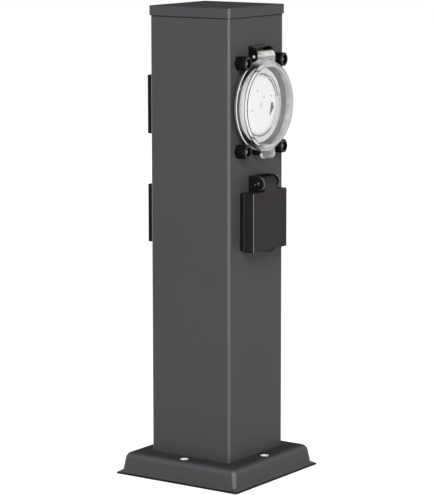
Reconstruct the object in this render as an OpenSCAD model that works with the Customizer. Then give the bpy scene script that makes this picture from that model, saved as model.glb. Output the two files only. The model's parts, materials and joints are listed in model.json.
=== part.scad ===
// Garden socket post: a square steel column on a pressed base, with a 24 hour
// dial timer and one sprung-lid socket in front and two more behind.
// Millimetres, +Z up, the origin on the ground under the middle of the base.
// A wall fitting is drawn in its own frame, which x_right, y_up and z_out describe:
// x to its right and y up its wall as the user faces it, and z outwards from the wall.

/* [Column] */
// Outside width of the square tube
column_w = 80; // [79:1:84]
// Thickness of the tube's wall
column_wall = 1.5; // [1.2:0.1:2]
// Outside corner radius of the tube
column_corner = 3; // [2.5:0.5:4]
// Length of the tube, from the base to the cap
column_len = 376.7; // [370:1:420]

/* [Cap] */
// Thickness of the cap's sheet
cap_sheet = 0.8; // [0.6:0.1:1.2]
// Gap between the tube and the cap's skirt
cap_gap = 0.2; // [0.1:0.1:0.5]
// Height of the cap's skirt with its top
cap_skirt = 8; // [6:1:14]
// Radius along the cap's top edges
cap_edge = 0.7; // [0.4:0.1:1]
// Height of the plastic plug in the tube's top
plug_h = 14; // [10:1:16]
// Wall of the plastic plug
plug_wall = 2; // [1.6:0.2:3]

/* [Base] */
// Width of the base over its lip
base_w = 124; // [120:1:140]
// Height of the base's flat top
base_h = 18.5; // [18.3:0.1:22]
// Thickness of the base's sheet
base_sheet = 1.2; // [1:0.1:1.5]
// Width of the sloping lip
lip_w = 3.4; // [3:0.2:4]
// Height at which the lip meets the wall
lip_h = 3; // [2.6:0.2:3.4]
// Height of the round shoulder above the drafted wall
shoulder_h = 6.3; // [5.5:0.1:7]
// Width of the round shoulder
shoulder_w = 7; // [6:0.2:7.4]
// Draft of the base's wall in degrees
base_draft = 6.7; // [5:0.1:8]
// Corner radius at the foot of the wall
base_corner = 4; // [3:0.5:5]
// Corner radius at the top of the wall
shoulder_corner = 5.5; // [4:0.5:7]
// Diameter of the circle that the four anchor holes lie on
anchor_pcd = 97; // [95:1:98]
// Diameter of an anchor hole
anchor_hole = 6; // [5:0.5:6.5]

/* [Foot flange and gland] */
// Thickness of the welded flange in the tube's foot
flange_t = 4; // [3:0.5:6]
// Spacing of the bolts that hold the flange to the base
flange_bolts = 52; // [50:1:56]
// Thread diameter of the flange bolts
bolt_d = 6; // [5:1:6]
// Width across the flats of a bolt's head
bolt_flats = 10; // [9:1:11]
// Thickness of the washers under the bolt heads
washer_t = 1.2; // [1:0.2:1.6]
// Thread diameter of the cable gland
gland_d = 20; // [16:1:21]
// Bore of the gland's rubber seal
cable_bore = 9; // [7:0.5:9.5]
// Width across the flats of the gland's body and nut
gland_flats = 24; // [24:1:27]

/* [Timer] */
// Depth of the timer's axis below the top of the tube
timer_drop = 80.4; // [78:0.1:90]
// Radius of the timer's black rim
rim_r = 37.5; // [37.5:0.25:38]
// Distance from the wall to the front face of the rim
rim_front = 4.5; // [4.3:0.1:5]
// Thickness of the gasket behind the rim
timer_gasket_t = 0.8; // [0.6:0.1:1]
// Outside radius of the timer's neck behind the wall
neck_r = 30.4; // [30.2:0.1:30.5]
// Wall of the neck
neck_wall = 1.5; // [1.4:0.1:1.6]
// Depth of the neck behind the wall
neck_depth = 22; // [20:1:30]
// Spacing of the timer's four studs across
stud_x = 53.4; // [52:0.2:56]
// Spacing of the timer's four studs up the wall
stud_y = 72.4; // [72:0.2:78]
// Thread diameter of the timer's studs
stud_d = 6; // [5:0.5:6]
// Width across the flats of a stud's nut
nut_flats = 11; // [10:0.1:11.4]
// Height of a stud's nut
nut_h = 9.8; // [8.6:0.1:10.4]

/* [Dial] */
// Radius of the dial
dial_r = 31; // [30.6:0.1:31.2]
// Distance from the wall to the dial's face
dial_front = 2.6; // [2.5:0.1:2.8]
// Thickness of the dial where the trippers stand
dial_t = 2.5; // [2.3:0.1:2.7]
// Thickness of the dial's thin edge
dial_edge_t = 0.9; // [0.8:0.1:1]
// Depth of the movement's shelf behind the dial's face
shelf_depth = 10.2; // [10:0.1:10.4]
// Number of trippers round the dial, four to the hour
tripper_count = 96; // [96]
// Number of trippers that are pressed in
pressed_count = 12; // [4:4:24]
// Inner radius of the tripper track
track_in = 23.6; // [23.4:0.1:24]
// Outer radius of the tripper track
track_out = 27.6; // [27.4:0.1:27.6]
// Travel of a tripper
tripper_travel = 1; // [0.8:0.1:1]
// Tooth module of the dial's gear and the motor's pinion
gear_module = 0.6; // [0.6]
// Teeth of the dial's gear
dial_teeth = 60; // [60]
// Teeth of the motor's pinion
pinion_teeth = 12; // [12]

/* [Timer cover] */
// Distance from the wall to the front of the clear cover
cover_front = 14; // [13.5:0.1:16]
// Thickness of the clear cover's window
window_t = 1.6; // [1.4:0.1:2]
// Radius of the clear cover's window
window_r = 34; // [33:0.25:34.5]
// Distance from the wall to the cover's hinge pin
cover_pin_out = 5.5; // [5.5:0.1:5.8]
// Height of the cover's hinge pin above the timer's axis
cover_pin_up = 40.6; // [40.6:0.1:41]
// Width of the clear knuckle on the pin
knuckle_w = 19.4; // [17:0.2:20]
// Thickness of the black ears beside the knuckle
ear_t = 2.4; // [2:0.1:3]
// Diameter of the cover's hinge pin
cover_pin_d = 2.5; // [2:0.1:2.8]

/* [Sockets] */
// Depth of the upper back socket's centre below the top of the tube
upper_drop = 83.1; // [80:0.1:90]
// Height of the front socket's centre above the base
front_rise = 201; // [190:1:203]
// Height of the lower back socket's centre above the base
lower_rise = 201.5; // [190:0.5:203]
// Width of a socket's flange
plate_w = 49; // [48.6:0.2:52]
// Height of a socket's flange
plate_h = 48.6; // [48.6:0.2:50]
// Corner radius of the flange
plate_corner = 1; // [1:0.25:2]
// Radius along the flange's front edges
plate_edge = 0.8; // [0.4:0.1:1]
// Thickness of the gasket behind the flange
plate_gasket_t = 0.5; // [0.4:0.1:0.6]
// Thickness of the flange
flange_plate_t = 2.8; // [2.6:0.1:3]
// Flange left between the well that takes the plug and the flange's nearest edge
well_margin = 4.55; // [4.5:0.05:4.8]
// Depth of the well from the collar's rim to its floor
well_depth = 17.5; // [17:0.1:18]
// Distance from the wall to the rim of the collar
collar_out = 10; // [9.8:0.1:10.2]
// Wall of the collar
collar_wall = 1.85; // [1.7:0.05:1.9]
// Depth of a socket's contact carrier behind the wall
carrier_depth = 30; // [28:0.5:32]
// Spacing of the two pin holes
pin_pitch = 19; // [18.6:0.1:19.4]
// Diameter of a pin hole
pin_hole = 5.4; // [5:0.1:5.6]

/* [Socket lid] */
// Distance from the wall to the front of the lid
lid_front = 13.9; // [13.5:0.1:14.2]
// Width by which the lid stands over the flange on each side
lid_over = 0.4; // [0:0.1:0.6]
// Radius along the lid's edges
lid_edge = 0.8; // [0.5:0.1:1.2]
// Gap between the flange and the lid's rim
lid_gap = 0.5; // [0.4:0.1:0.8]
// Wall of the lid
lid_wall = 1.8; // [1.6:0.05:1.8]
// Distance from the wall to the lid's hinge pin
lid_pin_out = 9.8; // [9.8:0.1:10]
// Height of the lid's hinge pin above the socket's centre
lid_pin_up = 31.4; // [31.4:0.1:31.8]
// Radius of the ears round the hinge pin
lid_ear_r = 5.8; // [5.4:0.1:6]
// Radius of the lid's roll between the ears
roll_r = 4.9; // [4.6:0.1:5]
// Width of the roll
roll_w = 18.2; // [16:0.2:19]
// Thickness of an ear
lid_ear_t = 2.9; // [2.4:0.1:3.2]
// Diameter of the lid's hinge pin
lid_pin_d = 2.4; // [2:0.1:2.6]
// Width of the finger tab under the lid
tab_w = 19; // [14:1:24]
// Depth of the finger tab below the lid
tab_drop = 1.8; // [1.2:0.1:2.4]

/* [Clearances] */
// Radial clearance of a turning part on its pin
turn_gap = 0.08; // [0.05:0.01:0.1]
// Clearance of a part that sits in another
seat_gap = 0.1; // [0.05:0.05:0.15]
// Clearance of a screw or stud in its thread
thread_gap = 0.04; // [0.02:0.01:0.06]
// Clearance of a barrel in the tube's cut-out
cut_gap = 0.5; // [0.4:0.1:0.6]

/* [Hidden] */
$fn = 64;
tiny = 0.01;
socket_names = ["front", "back_upper", "back_lower"];

// Levels and places that several parts share
wall_out = column_w / 2;
wall_in = wall_out - column_wall;
tube_top = base_h + column_len;
timer_z = tube_top - timer_drop;
front_z = base_h + front_rise;
lower_z = base_h + lower_rise;
upper_z = tube_top - upper_drop;

// Colours as the photograph shows them
steel_paint = [0.31, 0.31, 0.32];
black_plastic = [0.13, 0.13, 0.13];
lid_plastic = [0.21, 0.20, 0.19];
black_zinc = [0.11, 0.11, 0.12];
bright_steel = [0.72, 0.72, 0.74];
brass_yellow = [0.78, 0.64, 0.34];
rubber_black = [0.08, 0.08, 0.08];
dial_white = [0.94, 0.94, 0.93];
clear_plastic = [0.85, 0.88, 0.88, 0.35];
grey_plastic = [0.62, 0.63, 0.64];

// A fitting's own frame on the front wall
module on_front(z) translate([0, -wall_out, z]) rotate([90, 0, 0]) children();

// A fitting's own frame on the back wall
module on_back(z) translate([0, wall_out, z]) rotate([90, 0, 180]) children();

// The frame of one of the three sockets
module on_socket(name) {
    if (name == "front") on_front(front_z) children();
    if (name == "back_upper") on_back(upper_z) children();
    if (name == "back_lower") on_back(lower_z) children();
}

// A rectangle with round corners, centred
module round_rect(w, h, r) {
    square([w - 2 * r, h], center = true);
    square([w, h - 2 * r], center = true);
    for (x = [-1, 1], y = [-1, 1]) translate([x * (w / 2 - r), y * (h / 2 - r)]) circle(r);
}

// A rectangle from y = 0 to y = h whose two upper corners are round
module arch_rect(w, h, r) {
    translate([-w / 2, 0]) square([w, h - r]);
    translate([r - w / 2, 0]) square([w - 2 * r, h]);
    for (x = [-1, 1]) translate([x * (w / 2 - r), h - r]) circle(r);
}

// A block that stands on z = 0, with its top edges rounded
module soft_top(w, d, h, r) {
    intersection() {
        translate([0, d, 0]) rotate([90, 0, 0]) linear_extrude(2 * d) arch_rect(w, h, r);
        translate([-w, 0, 0]) rotate([90, 0, 90]) linear_extrude(2 * w) arch_rect(d, h, r);
    }
}

// A washer or tube between two levels
module ring(r_out, r_in, z0, z1) {
    translate([0, 0, z0]) difference() {
        cylinder(r = r_out, h = z1 - z0);
        translate([0, 0, -tiny]) cylinder(r = r_in, h = z1 - z0 + 2 * tiny);
    }
}

// A solid round bar between two levels
module disc(r, z0, z1) translate([0, 0, z0]) cylinder(r = r, h = z1 - z0);

// A hexagonal bar between two levels, measured across its flats
module hex(flats, z0, z1) translate([0, 0, z0]) cylinder(d = flats / cos(30), h = z1 - z0, $fn = 6);

// A bar along the x axis
module x_bar(r, x0, x1) translate([x0, 0, 0]) rotate([0, 90, 0]) cylinder(r = r, h = x1 - x0);

// A profile in (z_out, y_up), drawn across the fitting from x0 to x1
module across(x0, x1) translate([x0, 0, 0]) rotate([0, 90, 0]) rotate([0, 0, 90])
    mirror([1, 0, 0]) rotate([0, 0, 90]) linear_extrude(x1 - x0) children();

// Four copies at the corners of a rectangle
module at_corners(dx, dy) for (x = [-1, 1], y = [-1, 1]) translate([x * dx / 2, y * dy / 2, 0]) children();

// COLUMN

// Places of a socket's screws on its flange
screw_inset = 5;
screw_dx = plate_w - 2 * screw_inset;
screw_dy = plate_h - 2 * screw_inset + 0.8;
screw_r = 1.45;
well_r = min(plate_w, plate_h) / 2 - well_margin;
barrel_r = well_r + collar_wall;
barrel_hole_r = barrel_r + cut_gap;
timer_hole_r = neck_r + cut_gap;
timer_screw_at = 33.4;
timer_screw_r = 1.3;

// What a socket needs cut from the wall, in its own frame
module socket_cuts(depth) {
    disc(barrel_hole_r, -depth - tiny, tiny);
    at_corners(screw_dx, screw_dy) disc(screw_r + seat_gap, -depth - tiny, tiny);
}

// What the timer needs cut from a wall or plate, in its own frame
module timer_cuts(z0, z1) {
    disc(timer_hole_r, z0 - tiny, z1 + tiny);
    for (a = [45:90:315]) rotate(a) translate([timer_screw_at, 0, 0])
        disc(timer_screw_r + seat_gap, z0 - tiny, z1 + tiny);
}

module column_tube() color(steel_paint) difference() {
    translate([0, 0, base_h]) linear_extrude(column_len) difference() {
        round_rect(column_w, column_w, column_corner);
        round_rect(2 * wall_in, 2 * wall_in, column_corner - column_wall);
    }
    on_front(timer_z) {
        timer_cuts(-column_wall, 0);
        at_corners(stud_x, stud_y) disc(stud_d / 2 + seat_gap, -column_wall - tiny, tiny);
    }
    for (name = socket_names) on_socket(name) socket_cuts(column_wall);
    // The hole that the earth stud is welded into
    translate([wall_in - tiny, 0, earth_z]) x_bar(earth_weld_r, 0, column_wall / 2);
}

cap_in = column_w + 2 * cap_gap;
cap_out = cap_in + 2 * cap_sheet;

module top_cap() color(steel_paint) translate([0, 0, tube_top + cap_sheet - cap_skirt]) difference() {
    intersection() {
        soft_top(cap_out, cap_out, cap_skirt, cap_edge);
        translate([0, 0, -tiny]) linear_extrude(cap_skirt + 1) round_rect(cap_out, cap_out, column_corner);
    }
    translate([0, 0, -1]) linear_extrude(cap_skirt - cap_sheet + 1)
        round_rect(cap_in, cap_in, column_corner - cap_sheet);
}

// A shallow tray, upside down in the tube, that carries the cap
module cap_plug() color(black_plastic) translate([0, 0, tube_top - plug_h]) difference() {
    w = 2 * (wall_in - seat_gap);
    r = column_corner - column_wall - seat_gap;
    union() {
        difference() {
            linear_extrude(plug_h) round_rect(w, w, r);
            translate([0, 0, -1]) linear_extrude(plug_h - plug_wall + 1)
                square(w - 2 * plug_wall, center = true);
        }
        for (a = [0, 90]) rotate(a) translate([-w / 2 + plug_wall / 2, -plug_wall / 2, plug_h / 2])
            cube([w - plug_wall, plug_wall, plug_h / 2 - tiny]);
    }
    translate([0, 0, -1]) cylinder(r = plug_wall, h = plug_h - 1);
}

// BASE

foot_half = base_w / 2 - lip_w;
shoulder_z = base_h - shoulder_h;
wall_top_half = foot_half - (shoulder_z - lip_h) * tan(base_draft);
lip_edge = 0.8;
lip_corner = 2;
top_corner = 2;

// A thin square slice that the hull of the pressed dish runs through
module slice(half, r, z) translate([0, 0, z]) linear_extrude(tiny)
    round_rect(2 * half, 2 * half, r, $fn = 32);

// The pressed dish, or with an inset its inside
module dish(inset) hull() {
    slice(foot_half - inset, base_corner - inset, inset > 0 ? lip_h - 2 : lip_h - tiny);
    for (a = [0:15:90]) {
        half = wall_top_half - shoulder_w + (shoulder_w - inset) * cos(a);
        corner = max(top_corner, shoulder_corner - inset - (shoulder_w - inset) * (1 - cos(a)));
        slice(half, corner, shoulder_z + (shoulder_h - inset) * sin(a) - tiny);
    }
}

// The sloping lip, or with an inset its inside
module lip(inset) hull() {
    slice(base_w / 2 - 1.5 * inset, lip_corner, inset > 0 ? -1 : 0);
    slice(base_w / 2 - 1.5 * inset, lip_corner, inset > 0 ? -tiny : lip_edge);
    slice(foot_half - inset, base_corner - inset, lip_h + (inset > 0 ? 1 : 0) - tiny);
}

module base_plate() color(steel_paint) difference() {
    union() {
        dish(0);
        lip(0);
    }
    dish(base_sheet);
    lip(base_sheet);
    for (a = [0:90:270]) rotate(a) translate([anchor_pcd / 2, 0, 0])
        disc(anchor_hole / 2, base_h / 2, base_h + 1);
    at_corners(flange_bolts, flange_bolts) disc(bolt_d / 2 + 0.3, base_h / 2, base_h + 1);
    disc(gland_d / 2 + seat_gap, base_h / 2, base_h + 1);
}

sheet_under = base_h - base_sheet;

module foot_flange() color(bright_steel) difference() {
    translate([0, 0, base_h]) linear_extrude(flange_t)
        round_rect(2 * (wall_in - seat_gap), 2 * (wall_in - seat_gap), column_corner - column_wall);
    at_corners(flange_bolts, flange_bolts) disc(bolt_d / 2 + thread_gap, base_h - 1, base_h + flange_t + 1);
    disc(gland_d / 2 + seat_gap, base_h - 1, base_h + flange_t + 1);
}

module flange_bolts_set() color(bright_steel) at_corners(flange_bolts, flange_bolts) {
    head_h = 4;
    under = sheet_under - washer_t;
    hex(bolt_flats, under - head_h, under);
    disc(bolt_d / 2, under - tiny, base_h + flange_t + 1.5);
}

module flange_washers() color(bright_steel) at_corners(flange_bolts, flange_bolts)
    ring(bolt_flats * 0.62, bolt_d / 2 + seat_gap, sheet_under - washer_t, sheet_under);

gland_bore = gland_d / 2 - 3;
gland_collar = 5;
gland_nut_h = 10.5;
gland_seat = 2.5;
gland_top = base_h + flange_t;

module gland_body() color(black_plastic) difference() {
    union() {
        hex(gland_flats, sheet_under - gland_collar, sheet_under);
        disc(gland_d / 2, sheet_under - tiny, gland_top + 8);
        disc(gland_d / 2 - 1, sheet_under - gland_collar - 4, sheet_under - gland_collar + tiny);
    }
    disc(gland_bore, 0, gland_top + 9);
}

module gland_locknut() color(black_plastic) difference() {
    hex(gland_flats + 3, gland_top, gland_top + 5);
    disc(gland_d / 2 + thread_gap, gland_top - 1, gland_top + 6);
}

module gland_nut() color(black_plastic) translate([0, 0, sheet_under - gland_collar]) {
    difference() {
        union() {
            hex(gland_flats, -gland_nut_h / 2, 0);
            rotate_extrude() polygon([
                [0, -gland_nut_h], [gland_bore, -gland_nut_h], [gland_flats / 2 - 1.5, -gland_nut_h + 2.5],
                [gland_flats / 2 - 0.4, -gland_nut_h / 2 + tiny], [0, -gland_nut_h / 2 + tiny]
            ]);
        }
        disc(gland_d / 2 - 1 + thread_gap, -gland_nut_h + gland_seat, 1);
        disc(cable_bore / 2 + 0.4, -gland_nut_h - 1, 1);
    }
}

// The rubber ring that the nut squeezes round the cable
module gland_seal() color(rubber_black) {
    low = sheet_under - gland_collar - gland_nut_h + gland_seat;
    ring(gland_bore - seat_gap, cable_bore / 2, low + 3, low + 11);
    ring(gland_d / 2 - 1 - seat_gap, cable_bore / 2, low, low + 3 + tiny);
}

// EARTH AND TERMINALS

earth_rise = 40;
earth_z = base_h + earth_rise;
earth_weld_r = 4;
earth_len = 16;

module earth_stud() color(brass_yellow) translate([wall_in, 0, earth_z]) {
    x_bar(earth_weld_r - thread_gap, -1.5, column_wall / 2 - thread_gap);
    x_bar(2.5, -earth_len, -1.5 + tiny);
}

module earth_nut() color(bright_steel) translate([wall_in - 1.5, 0, earth_z]) {
    for (step = [0, 5.2]) translate([-step, 0, 0]) rotate([0, -90, 0]) difference() {
        union() {
            disc(5.4, 0, 1);
            hex(8, 1 - tiny, 5);
        }
        disc(2.5 + thread_gap, -1, 6);
    }
}

bracket_w = 50;
bracket_h = 46;
bracket_t = 1.5;
bracket_rise = 62;
bracket_z = base_h + bracket_rise;
pole_pitch = 13;
pole_step = 6;
block_w = 3 * pole_pitch + 6;
block_h = 22;
block_d = 17;

// The terminal block's own frame, on the inside of the back wall
module on_bracket() translate([0, wall_in - bracket_t, bracket_z]) rotate([90, 0, 0]) children();

module terminal_bracket() color(bright_steel) on_bracket() {
    translate([0, 0, -bracket_t]) linear_extrude(bracket_t) round_rect(bracket_w, bracket_h, 2);
    for (y = [-1, 1]) translate([-block_w / 2, y * (block_h / 2 + 1) - 0.75, -tiny]) cube([block_w, 1.5, 5]);
}

module terminal_block() color(dial_white) on_bracket() difference() {
    union() {
        translate([-block_w / 2, -block_h / 2, 0]) cube([block_w, block_h, block_d * 0.45]);
        translate([-block_w / 2 + 1, -block_h / 2 + 1.5, 0]) cube([block_w - 2, block_h - 3, block_d]);
    }
    for (p = [-1:1]) translate([p * pole_pitch, 0, 0]) {
        for (y = [-1, 1]) translate([0, y * pole_step, 0]) disc(2.4, block_d * 0.6, block_d + 1);
        translate([0, block_h, block_d * 0.45]) rotate([90, 0, 0]) cylinder(r = 2.2, h = 2 * block_h);
    }
    for (p = [-1, 1]) translate([p * pole_pitch / 2 - 0.6, -block_h, block_d * 0.7])
        cube([1.2, 2 * block_h, block_d]);
}

module terminal_screws() color(brass_yellow) on_bracket() for (p = [-1:1], y = [-1, 1])
    translate([p * pole_pitch, y * pole_step, 0]) difference() {
        disc(2.4 - seat_gap, block_d * 0.6, block_d - 1.5);
        translate([-3, -0.4, block_d - 2.5]) cube([6, 0.8, 3]);
    }

// TIMER

carrier_t = 2;
carrier_w = 66;
carrier_h = stud_y + 12;
rim_back_r = 34.8;
recess_r = dial_r + 0.5;
recess_floor = dial_front - dial_edge_t - 0.3;
neck_in = neck_r - neck_wall;
shelf_z = dial_front - shelf_depth;
shelf_r = neck_in - 1.6;
plate_t = 2;
seal_r = [rim_r - 1.8, rim_r - 0.8];
seal_depth = 0.6;

// The inner plate with the four studs that the black nuts hold
module timer_carrier() color(black_zinc) on_front(timer_z) {
    difference() {
        translate([0, 0, -column_wall - carrier_t]) linear_extrude(carrier_t)
            round_rect(carrier_w, carrier_h, 3);
        timer_cuts(-column_wall - carrier_t, -column_wall);
    }
    at_corners(stud_x, stud_y) disc(stud_d / 2, -column_wall - tiny, nut_h - 2);
}

module timer_nuts() color(black_zinc) on_front(timer_z) at_corners(stud_x, stud_y) difference() {
    intersection() {
        hex(nut_flats, 0, nut_h);
        // The chamfer that rounds off the nut's outer end
        rotate_extrude() polygon([
            [0, 0], [nut_flats, 0], [nut_flats, nut_h - 3.6],
            [nut_flats * 0.41, nut_h], [0, nut_h]
        ]);
    }
    disc(stud_d / 2 + thread_gap, -1, nut_h + 1);
    disc(stud_d / 2 + 0.5, nut_h - 2.4, nut_h + 1);
}

module timer_screws() color(bright_steel) on_front(timer_z)
    for (a = [45:90:315]) rotate(a) translate([timer_screw_at, 0, 0]) {
        disc(timer_screw_r, -column_wall - carrier_t - tiny, rim_front - 1.4);
        disc(2 * timer_screw_r, -column_wall - carrier_t - 1.6, -column_wall - carrier_t);
    }

module timer_gasket() color(rubber_black) on_front(timer_z) 
    ring(timer_screw_at - timer_screw_r - 0.2, timer_hole_r + 0.2, 0, timer_gasket_t);

ear_gap = 0.3;
ear_in = knuckle_w / 2 + ear_gap;
roof_y = cover_pin_up + 6.5;
roof_t = 1.7;
ear_top = roof_y + roof_t;
latch_w = 19.6;
catch_w = latch_w - 4.4;
catch_out = rim_front + 3.3;

// Side view of an ear: it backs the pin and stays clear of the swinging cover
module ear_profile() {
    translate([0.1, rim_r - 4]) square([rim_front - 0.1, ear_top - rim_r + 4]);
    translate([0.1, cover_pin_up - 3.7]) square([cover_pin_out - 0.1, ear_top - cover_pin_up + 3.7]);
    translate([cover_pin_out - tiny, cover_pin_up - 1.7]) square([2.1, ear_top - cover_pin_up]);
    translate([cover_pin_out, cover_pin_up - 1.6]) circle(2.1);
    translate([cover_pin_out, ear_top - 2.1]) circle(2.1);
}

module timer_housing() color(black_plastic) on_front(timer_z) difference() {
    union() {
        // Rim and neck
        rotate_extrude() polygon([
            [0, timer_gasket_t], [rim_back_r, timer_gasket_t], [rim_r, timer_gasket_t + 2.2],
            [rim_r, rim_front], [0, rim_front]
        ]);
        disc(neck_r, -neck_depth, timer_gasket_t + tiny);
        // Hinge ears with the roof between them
        for (s = [-1, 1]) translate([s * (ear_in + ear_t / 2), 0, 0]) across(-ear_t / 2, ear_t / 2) ear_profile();
        translate([-ear_in - tiny, roof_y, 0.1]) cube([2 * (ear_in + tiny), roof_t, rim_front - 0.1]);
        // Catch under the cover's latch
        translate([-catch_w / 2, -rim_r - 3.4, timer_gasket_t])
            cube([catch_w, 6, rim_front - timer_gasket_t]);
        translate([-catch_w / 2, -rim_r - 3.4, rim_front - tiny]) cube([catch_w, 3.1, catch_out - rim_front]);
    }
    // Stepped inside
    disc(recess_r, recess_floor, rim_front + 10);
    disc(neck_in, shelf_z, recess_floor + tiny);
    disc(shelf_r, -neck_depth - 1, shelf_z + tiny);
    // Groove of the cover's seal
    ring(seal_r[1] + seat_gap, seal_r[0] - seat_gap, rim_front - seal_depth, rim_front + 1);
    // Holes of the pin and of the screws from behind
    translate([0, cover_pin_up, cover_pin_out]) x_bar(cover_pin_d / 2 + thread_gap, -30, 30);
    for (a = [45:90:315]) rotate(a) translate([timer_screw_at, 0, 0])
        disc(timer_screw_r + thread_gap, -1, rim_front - 1.2);
    // The lug's front is sloped so that the latch rides over it
    across(-latch_w, latch_w) polygon([
        [catch_out - 1.6, -rim_r - 4], [catch_out + 1, -rim_r - 4], [catch_out + 1, -rim_r - 1.4]
    ]);
}

module cover_seal() color(rubber_black) on_front(timer_z)
    ring(seal_r[1], seal_r[0], rim_front - seal_depth, rim_front + 0.1);

rear_t = 2;

module timer_rear_cover() color(black_plastic) on_front(timer_z) difference() {
    union() {
        disc(neck_r, -neck_depth - rear_t, -neck_depth);
        ring(shelf_r - seat_gap, shelf_r - 1.8, -neck_depth - tiny, -neck_depth + 3);
        for (x = [-1:1]) translate([x * 12 - 4.5, -neck_r / 2 - 4, -neck_depth - rear_t - 3])
            cube([9, 8, 3 + tiny]);
    }
    for (x = [-1:1]) translate([x * 12, -neck_r / 2, 0]) disc(1.6, -neck_depth - rear_t - 4, -neck_depth + 1);
}

motor_r = 15;
motor_h = 10;
drive_angle = 217;
switch_angle = drive_angle - 180;
mesh_gap = 0.05;
drive_at = gear_module * (dial_teeth + pinion_teeth) / 2 + mesh_gap;
motor_at = shelf_r - motor_r - 0.5;
gear_low = shelf_z + plate_t + 1.1;
gear_z = [gear_low, gear_low + 1.8];
shaft_r = 0.8;
arbor_r = 1.5;
follower_at = (track_in + track_out) / 2;

module movement_plate() color(grey_plastic) on_front(timer_z) difference() {
    disc(neck_in - seat_gap, shelf_z, shelf_z + plate_t);
    disc(arbor_r + thread_gap, shelf_z - 1, 1);
    rotate(drive_angle) translate([drive_at, 0, 0]) disc(2.2, shelf_z - 1, 1);
    rotate(switch_angle) translate([20, 0, 0]) disc(1.4, shelf_z - 1, 1);
}

// Synchronous motor with its output shaft off centre
module timer_motor() color(bright_steel) on_front(timer_z) rotate(drive_angle) {
    translate([motor_at, 0, 0]) disc(motor_r, shelf_z - motor_h, shelf_z);
    translate([drive_at, 0, 0]) disc(2, shelf_z - tiny, shelf_z + plate_t);
    translate([drive_at, 0, 0]) disc(shaft_r, shelf_z, gear_z[1] + 0.6);
}

module timer_switch() color(black_plastic) on_front(timer_z) rotate(switch_angle) {
    translate([13.5, -8, shelf_z - 9]) cube([8, 16, 9]);
    translate([20, 0, 0]) disc(1.1, shelf_z - tiny, shelf_z + plate_t + 0.3);
}

// The follower that a pressed tripper holds down
module switch_lever() color(bright_steel) on_front(timer_z) rotate(switch_angle) {
    top = dial_front - dial_t - 0.3 - tripper_travel - 0.3;
    translate([19, -1.5, shelf_z + plate_t + 0.3]) cube([follower_at + 1.2 - 19, 3, 0.5]);
    translate([follower_at - 1.2, -1.5, shelf_z + plate_t + 0.3])
        cube([2.4, 3, top - 1 - shelf_z - plate_t - 0.3]);
    translate([follower_at, 0, top - 1.5]) x_bar(1.5, -1.2, 1.2);
}

module dial_arbor() color(bright_steel) on_front(timer_z) difference() {
    union() {
        disc(arbor_r, shelf_z, dial_front + 0.3);
        disc(2.6, dial_front + 0.15, dial_front + 1);
    }
    translate([-3, -0.4, dial_front + 0.6]) cube([6, 0.8, 1]);
}

// Angle of the involute of a base circle of radius 1 at radius t, in degrees
function involute(t) = t <= 1 ? 0 : sqrt(t * t - 1) * 180 / PI - acos(1 / t);

// Half the angle that a tooth of n teeth spans at radius r
function tooth_half(n, r) = let (pitch_r = gear_module * n / 2, base_r = pitch_r * cos(20))
    90 / n + involute(pitch_r / base_r) - involute(r / base_r);

// Outline of a spur gear of n teeth with one tooth at angle 0
module gear_outline(n) {
    pitch_r = gear_module * n / 2;
    radii = [pitch_r - 1.2 * gear_module, pitch_r - 0.4 * gear_module, pitch_r + 0.2 * gear_module,
        pitch_r + 0.8 * gear_module];
    polygon([for (k = [0:n - 1]) each concat(
        [for (i = [0:3]) let (a = 360 * k / n - tooth_half(n, radii[i])) radii[i] * [cos(a), sin(a)]],
        [for (i = [3:-1:0]) let (a = 360 * k / n + tooth_half(n, radii[i])) radii[i] * [cos(a), sin(a)]]
    )]);
}

module motor_pinion() color(brass_yellow) on_front(timer_z) rotate(drive_angle)
    translate([drive_at, 0, gear_z[0] - 0.1]) difference() {
        rotate(180 + 180 / pinion_teeth) linear_extrude(gear_z[1] - gear_z[0] + 0.2)
            gear_outline(pinion_teeth);
        disc(shaft_r + turn_gap, -1, 5);
    }

track_floor = dial_front - 1.8;
tail_w = 0.75;
tail_in = track_in + 1;
tail_out = track_out - 0.4;
tripper_step = 360 / tripper_count;
first_pressed = 9;

module timer_dial() color(dial_white) on_front(timer_z) difference() {
    union() {
        disc(dial_r, dial_front - dial_edge_t, dial_front);
        disc(neck_in - 0.7, dial_front - dial_t, dial_front - tiny);
        // Drum and gear behind the dial
        disc(gear_module * dial_teeth / 2 - 3, gear_z[0], dial_front - dial_t + tiny);
        rotate(drive_angle) translate([0, 0, gear_z[0]]) linear_extrude(gear_z[1] - gear_z[0])
            gear_outline(dial_teeth);
    }
    // Track that the trippers' heads stand in, with a slot for each tail
    ring(track_out, track_in, track_floor, dial_front + 1);
    for (k = [0:tripper_count - 1]) rotate(k * tripper_step)
        translate([tail_in - seat_gap, -tail_w / 2 - seat_gap, dial_front - dial_t - 1])
            cube([tail_out - tail_in + 2 * seat_gap, tail_w + 2 * seat_gap, dial_t + 1]);
    disc(arbor_r + turn_gap, gear_z[0] - 1, dial_front + 1);
    // Hollow behind the face, between the drum and the track
    ring(track_in - 1, gear_module * dial_teeth / 2 + 1.4, dial_front - dial_t - 1, dial_front - 1.2);
}

// A tripper seen from above is a wedge, so that neighbours keep an even gap
module tripper_head(w_in, w_out) linear_extrude(0.9) polygon([
    [track_in + 0.15, -w_in / 2], [track_out - 0.15, -w_out / 2],
    [track_out - 0.15, w_out / 2], [track_in + 0.15, w_in / 2]
]);

module trippers() color(dial_white) on_front(timer_z) for (k = [0:tripper_count - 1]) {
    pressed = k >= first_pressed && k < first_pressed + pressed_count;
    rotate(90 - k * tripper_step) translate([0, 0, pressed ? -tripper_travel : 0]) {
        translate([0, 0, dial_front - 0.7]) tripper_head(1.12, 1.36);
        translate([tail_in, -tail_w / 2, dial_front - dial_t - 0.3])
            cube([tail_out - tail_in, tail_w, dial_t - 0.4 + tiny]);
    }
}

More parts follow.
